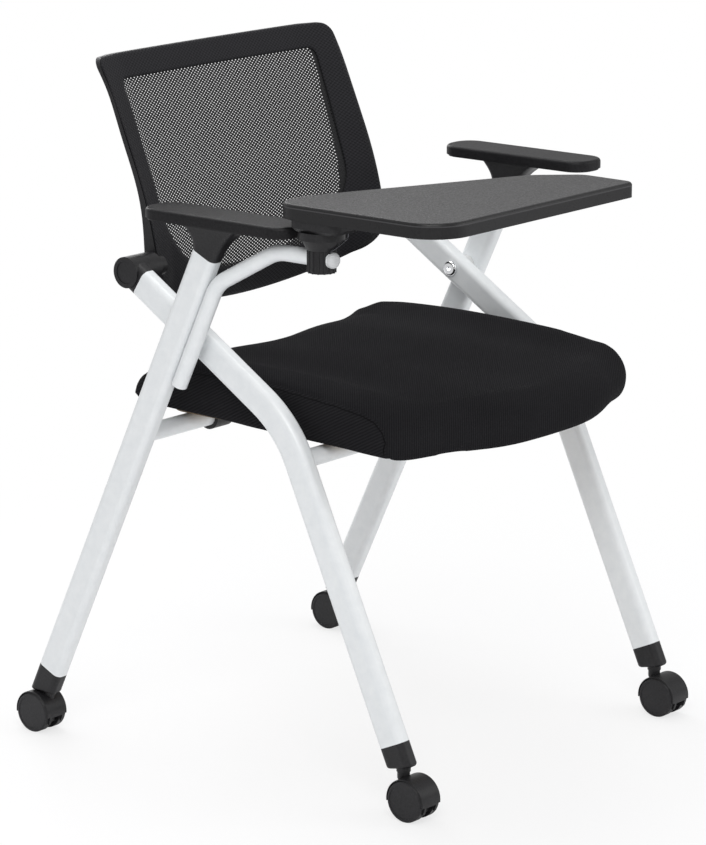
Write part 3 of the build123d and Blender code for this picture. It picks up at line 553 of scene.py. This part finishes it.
# Seat cushion: swollen from the CAD solid, with the seam of its side panels
seatSet = {
    "weld": 0.00002, "voxel": 0.005, "shrink": 0.001, "shrinkFrom": 0.422, "shrinkOver": 0.025,
    "pressure": 4.0, "frames": 20, "cap": 0.006, "stiff": 15.0, "bend": 6.0, "calm": 12.0, "quality": 5,
    "heldHeight": 0.4335,              # cloth under this height is tacked to the board
    "evenShare": 0.5, "evenSteps": 14,
    # lowered places: drop, then where its share starts and how far it runs in |X|, Y and Z
    "drops": [
        (0.0060, (0.110, 0.110), (-0.100, -0.160), (0.430, 0.050)),
        (-0.0022, (-0.500, 0.100), (0.130, 0.060), (0.430, 0.030)),
        (-0.0015, (0.120, 0.050), (0.130, 0.060), (0.430, 0.030)),
        (0.0095, (0.192, 0.032), (0.130, 0.060), (0.430, 0.030)),
        (0.0115, (0.178, 0.028), (0.163, 0.026), (0.430, 0.030)),
    ],
    # side seam: Y and Z from the rear to the front, then down behind the nose
    "seam": [
        (0.196, 0.462), (0.176, 0.471), (0.120, 0.479), (0.040, 0.482), (-0.032, 0.480), (-0.075, 0.476),
        (-0.120, 0.472), (-0.155, 0.467), (-0.178, 0.460), (-0.189, 0.449), (-0.192, 0.437), (-0.190, 0.416),
    ],
    "sideStart": 0.190, "grooveWidth": 0.0032, "grooveDepth": 0.0016,
    "seamThread": 0.0005, "seamStep": 0.004, "seamReach": 0.235,
}


def bakeModifiers(piece):
    bpy.context.view_layer.update()
    graph = bpy.context.evaluated_depsgraph_get()
    mesh = bpy.data.meshes.new_from_object(piece.evaluated_get(graph))
    piece.modifiers.clear()
    piece.data = mesh


def ease(share):
    share = clamp(share)
    return share * share * (3 - 2 * share)


def seamRoute(s):
    route = []
    for (y0, z0), (y1, z1) in zip(s["seam"], s["seam"][1:]):
        run = math.hypot(y1 - y0, z1 - z0)
        steps = max(int(run / s["seamStep"]), 1)
        route += [(y0 + (y1 - y0) * k / steps, z0 + (z1 - z0) * k / steps) for k in range(steps)]
    return route + [s["seam"][-1]]


def swell(piece, s):
    start = [vert.co.copy() for vert in piece.data.vertices]
    held = piece.vertex_groups.new(name="tacked")
    held.add([vert.index for vert in piece.data.vertices if vert.co.z < s["heldHeight"]], 1.0, "REPLACE")
    cloth = piece.modifiers.new("swell", "CLOTH")
    cloth.settings.vertex_group_mass = held.name
    cloth.settings.use_pressure = True
    cloth.settings.uniform_pressure_force = s["pressure"]
    cloth.settings.effector_weights.gravity = 0
    cloth.settings.tension_stiffness = cloth.settings.compression_stiffness = s["stiff"]
    cloth.settings.shear_stiffness = s["stiff"]
    cloth.settings.bending_stiffness = s["bend"]
    cloth.settings.air_damping = s["calm"]
    cloth.settings.quality = s["quality"]
    cloth.point_cache.frame_start = 1
    cloth.point_cache.frame_end = s["frames"]
    for step in range(1, s["frames"] + 1):
        scene.frame_set(step)
    bakeModifiers(piece)
    scene.frame_set(1)
    for vert, before in zip(piece.data.vertices, start):
        move = vert.co - before
        if move.length > s["cap"]:
            vert.co = before + move * (s["cap"] / move.length)


# Groove along the seam, and the attribute that gives the side panels their own cloth
def sewSides(mesh, s):
    route = seamRoute(s)
    boxing = mesh.attributes.new("boxing", "FLOAT", "POINT")
    normals = [vert.normal.copy() for vert in mesh.vertices]
    for vert, normal in zip(mesh.vertices, normals):
        if abs(vert.co.x) < s["sideStart"]:
            continue
        y, z = vert.co.y, vert.co.z
        gap, nearest = min((math.hypot(y - a, z - b), index) for index, (a, b) in enumerate(route))
        vert.co -= normal * s["grooveDepth"] * math.exp(-(gap / s["grooveWidth"]) ** 2)
        ahead = route[min(nearest + 1, len(route) - 1)]
        behind = route[max(nearest - 1, 0)]
        here = route[nearest]
        inside = (ahead[0] - behind[0]) * (z - here[1]) - (ahead[1] - behind[1]) * (y - here[0])
        boxing.data[vert.index].value = 1.0 if inside > 0 else 0.0


def makeSeat(s, paint):
    shape = bmesh.new()
    shape.from_mesh(nodes["seat_cushion"].data)
    bmesh.ops.remove_doubles(shape, verts=shape.verts, dist=s["weld"])
    shape.normal_update()
    for vert in shape.verts:
        vert.co -= vert.normal * s["shrink"] * clamp((vert.co.z - s["shrinkFrom"]) / s["shrinkOver"])
    piece = finishPiece(shape, "seatPad", "seat", paint, 1.0)
    remesh = piece.modifiers.new("voxels", "REMESH")
    remesh.mode = "VOXEL"
    remesh.voxel_size = s["voxel"]
    bakeModifiers(piece)
    swell(piece, s)
    smoother = piece.modifiers.new("even", "SMOOTH")
    smoother.factor = s["evenShare"]
    smoother.iterations = s["evenSteps"]
    finer = piece.modifiers.new("finer", "SUBSURF")
    finer.levels = finer.render_levels = 1
    bakeModifiers(piece)
    mesh = piece.data
    for vert in mesh.vertices:
        places = (abs(vert.co.x), vert.co.y, vert.co.z)
        for drop, *spans in s["drops"]:
            shares = [ease((place - start) / run) for place, (start, run) in zip(places, spans)]
            vert.co.z -= drop * shares[0] * shares[1] * shares[2]
    mesh.update()
    sewSides(mesh, s)
    mesh.shade_smooth()
    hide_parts("seat_cushion")
    return piece


def makeSeam(s, seat, paint):
    bpy.context.view_layer.update()
    surface = BVHTree.FromObject(seat, bpy.context.evaluated_depsgraph_get())
    line = bpy.data.curves.new("seatSeam", "CURVE")
    line.dimensions = "3D"
    line.bevel_depth = s["seamThread"]
    line.bevel_resolution = 2
    line.use_fill_caps = True
    route = seamRoute(s)
    for side in (-1, 1):
        thread = line.splines.new("NURBS")
        thread.points.add(len(route) - 1)
        for point, (y, z) in zip(thread.points, route):
            place = surface.find_nearest(Vector((side * s["seamReach"], y, z)))[0]
            point.co = (*place, 1.0)
        thread.order_u = 3
        thread.use_endpoint_u = True
    holder = bpy.data.objects.new("seatSeamLine", line)
    scene.collection.objects.link(holder)
    bpy.context.view_layer.update()
    mesh = bpy.data.meshes.new_from_object(holder.evaluated_get(bpy.context.evaluated_depsgraph_get()))
    bpy.data.objects.remove(holder)
    shape = bmesh.new()
    shape.from_mesh(mesh)
    return finishPiece(shape, "seatSeam", "seat", paint, 1.0)


seatPad = makeSeat(seatSet, finishes["seat_fabric"])
seatSeam = makeSeam(seatSet, seatPad, threadPaint("seamThread", threadTwist))
print("seat made:", len(seatPad.data.polygons), len(seatSeam.data.polygons))


# Turned to look from a place at a target
def aimed(place, target):
    look = Vector(target) - Vector(place)
    return Matrix.Translation(place) @ look.to_track_quat("-Z", "Y").to_matrix().to_4x4()


# Camera at the photograph's place, in metres
cameraSet = {
    "eye": (-3.5062, -2.8293, 1.4864), "target": (0.0, 0.04353, 0.38144),
    "focalPixels": 3756.16, "longSidePixels": 845, "sensor": 36.0, "farthest": 50,
}


def makeCamera(s):
    lens = bpy.data.cameras.new("photoCamera")
    lens.sensor_width = s["sensor"]
    lens.lens = s["focalPixels"] / s["longSidePixels"] * s["sensor"]
    lens.clip_end = s["farthest"]
    camera = bpy.data.objects.new("photoCamera", lens)
    scene.collection.objects.link(camera)
    camera.matrix_world = aimed(s["eye"], s["target"])
    scene.camera = camera


# Soft studio light round the chair: name, place, target, size and watts
lampSet = [
    ("keyLamp", (-2.2, -1.6, 2.6), (0, 0, 0.5), 1.6, 46),
    ("fillLamp", (1.6, -2.6, 1.7), (0, 0, 0.45), 1.8, 19),
    ("topLamp", (0.2, 0.6, 2.8), (0, 0, 0.4), 1.8, 30),
    ("backLamp", (1.2, 2.4, 1.6), (0, 0, 0.5), 1.6, 22),
]


def makeLamps(rows):
    for name, place, target, size, watts in rows:
        lamp = bpy.data.lights.new(name, "AREA")
        lamp.size = size
        lamp.energy = watts
        holder = bpy.data.objects.new(name, lamp)
        scene.collection.objects.link(holder)
        holder.matrix_world = aimed(place, target)


# Pale floor, seen as white away from the chair, with the chair's shadow near it, and a white surround
worldSet = {
    "ambient": 0.55, "floorTone": (0.86, 0.86, 0.87), "floorRough": 0.7, "floorGloss": 0.1, "floorSize": 9.0,
    "whiteNear": 0.72, "fadeStart": 0.45, "fadeEnd": 1.3,
}


def makeSurround(s):
    paint = Paint("studio", bpy.data.worlds, "Background")
    seen = paint.add("ShaderNodeLightPath", None, None, "Is Camera Ray")
    paint.set(Color=(1, 1, 1), Strength=paint.add("ShaderNodeMix", None, {0: seen, 2: s["ambient"], 3: 1.0}))
    scene.world = paint.block


def makeFloor(s):
    shape = bmesh.new()
    bmesh.ops.create_grid(shape, x_segments=1, y_segments=1, size=s["floorSize"])
    mesh = bpy.data.meshes.new("floor")
    shape.to_mesh(mesh)
    shape.free()
    floor = bpy.data.objects.new("floor", mesh)
    scene.collection.objects.link(floor)
    paint = Paint("floorPale")
    paint.set(Base_Color=s["floorTone"], Roughness=s["floorRough"], Specular_IOR_Level=s["floorGloss"])
    x, y = paint.axes()[:2]
    away = paint.add("ShaderNodeMath", {"operation": "SQRT"}, {0: x * x + y * y})
    fade = paint.add("ShaderNodeMapRange", {"interpolation_type": "SMOOTHSTEP"},
                     {0: away, 1: s["fadeStart"], 2: s["fadeEnd"], 3: s["whiteNear"], 4: 1.0})
    seen = paint.add("ShaderNodeLightPath", None, None, "Is Camera Ray")
    white = paint.add("ShaderNodeEmission", None, {"Color": (1, 1, 1), "Strength": 1.0})
    shaded = Wire(paint, paint.shader.outputs[0])
    mixed = paint.add("ShaderNodeMixShader", None, {0: fade * seen, 1: shaded, 2: white})
    paint.put(paint.tree.nodes["Material Output"].inputs["Surface"], mixed)
    mesh.materials.append(paint.block)


makeCamera(cameraSet)
makeLamps(lampSet)
makeSurround(worldSet)
makeFloor(worldSet)
scene.view_settings.view_transform = "Standard"
print("camera, lamps and floor set")
